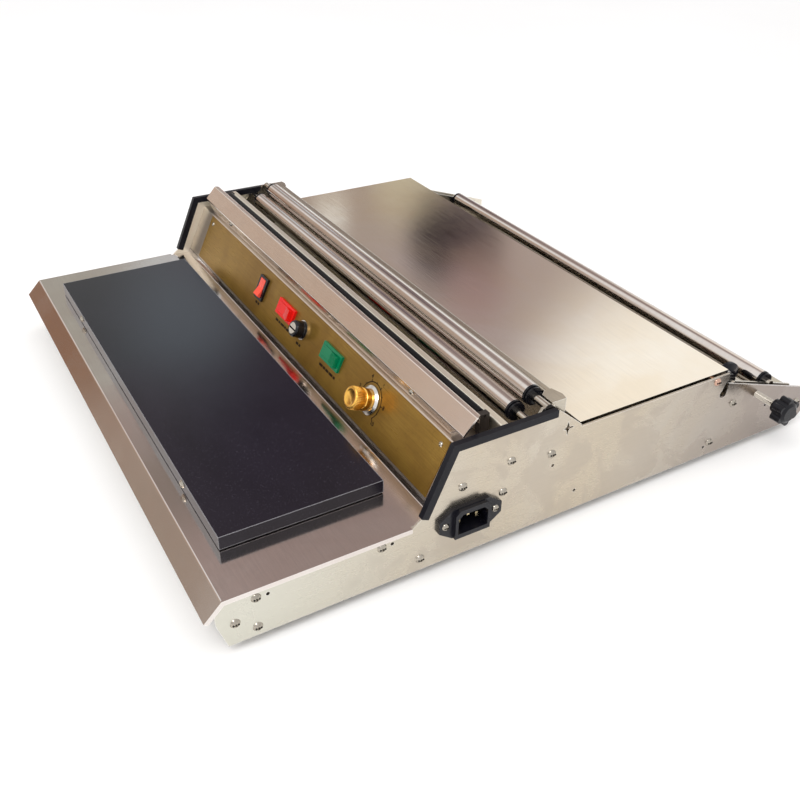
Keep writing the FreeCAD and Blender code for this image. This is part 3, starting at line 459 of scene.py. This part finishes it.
# Chrome slotted face of the fuse cap: two half discs with a chamfered rim.
FUSE_FACE = 10.8 * MM
DISC_LEVELS = ((-0.3 * MM, 1.0), (0.25 * MM, 1.0), (0.55 * MM, 0.9))
DISC_R = 5.0 * MM
SLOT_HALF = 0.7 * MM
ARC_STEPS = 24
disc_points = []
disc_faces = []
for side in (-1, 1):
    first = len(disc_points)
    rim = []
    reach = math.acos(SLOT_HALF / DISC_R)
    for step in range(ARC_STEPS + 1):
        angle = -reach + 2 * reach * step / ARC_STEPS
        rim.append((side * DISC_R * math.cos(angle), DISC_R * math.sin(angle)))
    for height, shrink in DISC_LEVELS:
        for u, v in rim:
            inner_u = side * SLOT_HALF + (u - side * SLOT_HALF) * shrink
            disc_points.append(on_panel("fuse", v * shrink, inner_u, FUSE_FACE + height))
    count = len(rim)
    for level in range(2):
        for step in range(count):
            nxt = (step + 1) % count
            a, b = first + level * count, first + (level + 1) * count
            quad = (a + step, a + nxt, b + nxt, b + step)
            disc_faces.append(quad if side < 0 else quad[::-1])
    top = tuple(first + 2 * count + step for step in range(count))
    bottom = tuple(first + step for step in range(count))
    disc_faces.append(top if side < 0 else top[::-1])
    disc_faces.append(bottom[::-1] if side < 0 else bottom)
mesh_piece("fuse_cap_face", disc_points, disc_faces, SCREW_STEEL, "fuse_cap", smooth=False)


# Printed dial: an arc with ticks and numbers round the knob, and plain dashes under the controls.
def flat_quad(points, faces, control, corners):
    """Adds one printed quad given by its (x, up) corners round a control's centre."""
    first = len(points)
    for x, up in corners:
        points.append(on_panel(control, x, up, PRINT_LIFT))
    faces.append((first, first + 1, first + 2, first + 3))


def bar(points, faces, control, x, up, wide, tall):
    """Adds one printed rectangle: x and up are its lower left corner."""
    corners = [(x, up), (x + wide, up), (x + wide, up + tall), (x, up + tall)]
    flat_quad(points, faces, control, corners)


DIAL_R = 13.4 * MM
DIAL_SWEEP = math.radians(270)
DIAL_STEPS = 54
TICKS = 11
TICK_LONG = 2.4 * MM
TICK_SHORT = 1.6 * MM
LINE = 0.8 * MM
print_points = []
print_faces = []
for step in range(DIAL_STEPS):
    ends = [DIAL_SWEEP * (step + k) / DIAL_STEPS - DIAL_SWEEP / 2 for k in (0, 1)]
    ring = [(DIAL_R, ends[0]), (DIAL_R + LINE, ends[0]), (DIAL_R + LINE, ends[1]), (DIAL_R, ends[1])]
    flat_quad(print_points, print_faces, "knob", [(r * math.sin(a), r * math.cos(a)) for r, a in ring][::-1])
for tick in range(TICKS):
    angle = DIAL_SWEEP * tick / (TICKS - 1) - DIAL_SWEEP / 2
    length = TICK_LONG if tick % 2 == 0 else TICK_SHORT
    along = Vector((math.sin(angle), math.cos(angle)))
    across = Vector((math.cos(angle), -math.sin(angle))) * LINE / 2
    foot, tip = along * DIAL_R, along * (DIAL_R + length)
    corners = [foot - across, foot + across, tip + across, tip - across]
    flat_quad(print_points, print_faces, "knob", [(c.x, c.y) for c in corners])
CAPTION_DROP = {"power": -15.5, "seal": -13.5, "fuse": -14.0, "cut": -13.5}
CAPTION_BARS = {
    "power": (4.0, 3.2), "seal": (5.0, 3.6, 6.4, 3.0, 4.6),
    "fuse": (4.2, 3.0), "cut": (6.0, 3.4, 4.8, 6.2, 3.2),
}
BAR_TALL = 2.1 * MM
BAR_GAP = 0.9 * MM
for control, widths in CAPTION_BARS.items():
    total = sum(widths) * MM + BAR_GAP * (len(widths) - 1)
    x = -total / 2
    for wide in widths:
        bar(print_points, print_faces, control, x, CAPTION_DROP[control] * MM, wide * MM, BAR_TALL)
        x += wide * MM + BAR_GAP
mesh_piece("panel_print", print_points, print_faces, INK, "frame", smooth=False)

NUMBER_R = 17.9 * MM
NUMBER_SIZE = 4.4 * MM
NUMBER_BOLD = 0.15 * MM
for number in range(0, TICKS, 2):
    angle = DIAL_SWEEP * number / (TICKS - 1) - DIAL_SWEEP / 2
    text = bpy.data.curves.new("dial_number_" + str(number), "FONT")
    text.body = str(number)
    text.size = NUMBER_SIZE
    text.offset = NUMBER_BOLD
    text.align_x = "CENTER"
    text.align_y = "CENTER"
    sample = bpy.data.objects.new("sample", text)
    bpy.context.scene.collection.objects.link(sample)
    bpy.context.view_layer.update()
    outline = bpy.data.meshes.new_from_object(sample.evaluated_get(bpy.context.evaluated_depsgraph_get()))
    bpy.data.objects.remove(sample)
    x, up = NUMBER_R * math.sin(angle), NUMBER_R * math.cos(angle)
    spot = on_panel("knob", x, up, PRINT_LIFT)
    vertices = [spot + PANEL_TURN @ Vector(v.co) for v in outline.vertices]
    faces = [tuple(p.vertices) for p in outline.polygons]
    mesh_piece("dial_number_" + str(number), vertices, faces, INK, "frame", smooth=False)


# Screws: a black hexagonal plug in the top of every domed head on the sides, painted shade in its socket.
def islands(node):
    """World boxes (low, high) of a node's separate solids."""
    parent = list(range(len(node.data.vertices)))

    def root(index):
        while parent[index] != index:
            parent[index] = parent[parent[index]]
            index = parent[index]
        return index

    for edge in node.data.edges:
        parent[root(edge.vertices[0])] = root(edge.vertices[1])
    groups = {}
    for vertex in node.data.vertices:
        groups.setdefault(root(vertex.index), []).append(node.matrix_world @ vertex.co)
    boxes = []
    for points in groups.values():
        low = Vector([min(p[axis] for p in points) for axis in range(3)])
        high = Vector([max(p[axis] for p in points) for axis in range(3)])
        boxes.append((low, high))
    return sorted(boxes, key=lambda pair: tuple(round(c, 5) for c in pair[0]))


SOCKET_SHARE = 0.42
SOCKET_DEEP = 0.4 * MM
SOCKET_SIDES = 6
for name in ("casing_screws", "inlet_screws", "table_pivot_screws"):
    points = []
    faces = []
    for low, high in islands(NODES[name]):
        middle = (low + high) / 2
        outward = 1 if middle.x > 0 else -1
        radius = SOCKET_SHARE * (high.y - low.y) / 2
        face_x = high.x if outward > 0 else low.x
        first = len(points)
        for back in (0.0, SOCKET_DEEP):
            for corner in range(SOCKET_SIDES):
                angle = 2 * math.pi * corner / SOCKET_SIDES
                y = middle.y + radius * math.cos(angle)
                points.append(Vector((face_x - outward * back, y, middle.z + radius * math.sin(angle))))
        ring = list(range(first, first + SOCKET_SIDES))
        rear = [index + SOCKET_SIDES for index in ring]
        faces.append(tuple(ring if outward > 0 else ring[::-1]))
        faces.append(tuple(rear[::-1] if outward > 0 else rear))
        for corner in range(SOCKET_SIDES):
            after = (corner + 1) % SOCKET_SIDES
            quad = (ring[corner], rear[corner], rear[after], ring[after])
            faces.append(quad if outward > 0 else quad[::-1])
    mesh_piece(name[:-1] + "_socket_shades", points, faces, PAINTED_SOCKET_SHADE, "frame", smooth=False)

# Stop screw: a rod with a rolled helical thread of 1 mm pitch.
screw_low, screw_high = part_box("stop_screw")
THREAD_R = 3.0 * MM
THREAD_DEPTH = 0.45 * MM
PITCH = 1.0 * MM
RINGS_PER_PITCH = 6
AROUND = 24
screw_length = screw_high.x - screw_low.x
ring_count = int(screw_length / PITCH * RINGS_PER_PITCH) + 1
screw_profile = [(THREAD_R, screw_length * ring / (ring_count - 1)) for ring in range(ring_count)]


def thread(angle, ring):
    turn = screw_profile[ring][1] / PITCH - angle / (2 * math.pi)
    return -THREAD_DEPTH * abs(2 * (turn - math.floor(turn)) - 1)


screw_points, screw_faces = turned(screw_profile, AROUND, thread)
axis_y = (screw_low.y + screw_high.y) / 2
axis_z = (screw_low.z + screw_high.z) / 2
screw_points = [Vector((screw_low.x + p.z, axis_y + p.y, axis_z - p.x)) for p in screw_points]
threaded = mesh_piece("threaded_rod", screw_points, screw_faces, SCREW_STEEL, "stop_knob")
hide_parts("stop_screw")


# ---------------------------------------------------------------- stage, light and camera
floor_mesh = bpy.data.meshes.new("floor")
FLOOR_REACH = 12.0
floor_corners = [(-1, -1), (1, -1), (1, 1), (-1, 1)]
floor_mesh.from_pydata([(x * FLOOR_REACH, y * FLOOR_REACH, 0) for x, y in floor_corners], [], [(0, 1, 2, 3)])
floor = bpy.data.objects.new("floor", floor_mesh)
bpy.context.scene.collection.objects.link(floor)
floor_material, floor_net, floor_shader = new_material("floor_paint")
floor_tone = floor_net.noise(floor_net.place(), 2.0, 2.0, 0.5)
floor_net.join(
    floor_net.mix(floor_net.ramp(floor_tone, 0.3, 0.7), (0.97, 0.97, 0.97), (0.95, 0.95, 0.95)),
    floor_shader.inputs["Base Color"],
)
floor_shader.inputs["Roughness"].default_value = 0.9
floor_shader.inputs["Specular IOR Level"].default_value = 0.1
floor.data.materials.append(floor_material)


def toward(azimuth, elevation):
    """Unit vector: azimuth in degrees from -X towards +Y, elevation above the horizon."""
    a, e = math.radians(azimuth), math.radians(elevation)
    return Vector((-math.cos(a) * math.cos(e), math.sin(a) * math.cos(e), math.sin(e)))


world = bpy.data.worlds.new("studio")
bpy.context.scene.world = world
world.use_nodes = True
sky = Net(world.node_tree)
sky_direction = sky.add("ShaderNodeTexCoord").outputs["Generated"]
sky_colour = None
# Soft patches of the sky, which tint the light and the reflections: the camera sees SKY_BASE.
SKY_BASE = (1.02, 1.02, 1.02)
SKY_PATCHES = [
    # azimuth, elevation, half width in degrees, softness, colour
    (24, 34, 30, 0.45, (0.43, 0.35, 0.33)),
    (23, 34, 8, 0.5, (0.16, 0.12, 0.15)),
    (30, 43, 10, 0.8, (0.38, 0.31, 0.29)),
    (10, 26, 7, 0.35, (0.46, 0.45, 0.40)),
    (13.3, 37.5, 4.0, 0.7, (0.27, 0.23, 0.20)),
    (16.0, 28.0, 5.0, 0.7, (0.88, 0.98, 1.06)),
    (27, 20, 6, 0.5, (0.41, 0.33, 0.28)),
    (31, 20, 3, 0.6, (0.58, 0.50, 0.36)),
    (26, 22, 1.4, 0.6, (0.95, 0.92, 0.86)),
    (34.2, 23.4, 3.7, 0.5, (0.03, 0.02, 0.022)),
    (35.8, 26.3, 2.8, 0.8, (0.36, 0.24, 0.23)),
    (52, 34, 13, 0.55, (1.10, 1.04, 0.95)),
    (-32, 20, 20, 0.5, (0.55, 0.43, 0.35)),
    (-28, 5, 8, 0.6, (0.30, 0.17, 0.11)),
    (-43, 3, 14, 0.7, (0.40, 0.32, 0.26)),
    (-35, -1, 6.5, 0.4, (0.28, 0.20, 0.13)),
    (-150, 40, 40, 0.6, (1.15, 1.15, 1.18)),
]
for azimuth, elevation, width, soft, colour in SKY_PATCHES:
    dot = sky.add("ShaderNodeVectorMath", operation="DOT_PRODUCT")
    sky.join(sky_direction, dot.inputs[0])
    dot.inputs[1].default_value = toward(azimuth, elevation)
    inner = math.cos(math.radians(width * (1 - soft)))
    outer = math.cos(math.radians(width))
    amount = sky.ramp(dot.outputs["Value"], outer, inner)
    sky_colour = sky.mix(amount, sky_colour or SKY_BASE, colour)
sky_colour = sky.mix(sky.add("ShaderNodeLightPath").outputs["Is Camera Ray"], sky_colour, SKY_BASE)
background = sky.add("ShaderNodeBackground", Strength=1.0)
sky.join(sky_colour, background.inputs["Color"])
sky.join(background.outputs[0], sky.add("ShaderNodeOutputWorld").inputs[0])

tray_low, tray_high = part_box("front_tray")
FRONT_FOOT = Vector(((tray_low.x + tray_high.x) / 2, tray_low.y, 0))


def softbox(name, location, target, width, height, power, colour):
    """Rectangular soft light aimed at a point. Both places are from the tray's front middle."""
    data = bpy.data.lights.new(name, "AREA")
    data.shape = "RECTANGLE"
    data.size, data.size_y = width, height
    data.energy = power
    data.color = colour
    light = bpy.data.objects.new(name, data)
    light.location = FRONT_FOOT + Vector(location)
    light.rotation_mode = "QUATERNION"
    light.rotation_quaternion = (Vector(target) - Vector(location)).to_track_quat("-Z", "Y")
    bpy.context.scene.collection.objects.link(light)


softbox("key", (0.9, -0.9, 1.9), (0, 0.25, 0.05), 1.2, 0.9, 22.0, (1.0, 0.98, 0.95))

camera_data = bpy.data.cameras.new("camera")
camera = bpy.data.objects.new("camera", camera_data)
bpy.context.scene.collection.objects.link(camera)
CAMERA_RIGHT = Vector((0.5072, 0.8616, 0.0192))
CAMERA_DOWN = Vector((0.4587, -0.2510, -0.8524))
CAMERA_AHEAD = Vector((-0.7296, 0.4411, -0.5225))
CAMERA_SPOT = FRONT_FOOT + Vector((0.63182, -0.10053, 0.44932))
turn = Matrix((CAMERA_RIGHT, -CAMERA_DOWN, -CAMERA_AHEAD)).transposed().to_4x4()
camera.matrix_world = Matrix.Translation(CAMERA_SPOT) @ turn
camera_data.sensor_width = 36.0
camera_data.lens = 41.87
camera_data.shift_x = -0.0079
camera_data.shift_y = -0.0375
camera_data.clip_start = 0.02
camera_data.clip_end = 100.0
bpy.context.scene.camera = camera
bpy.context.scene.view_settings.view_transform = "Standard"
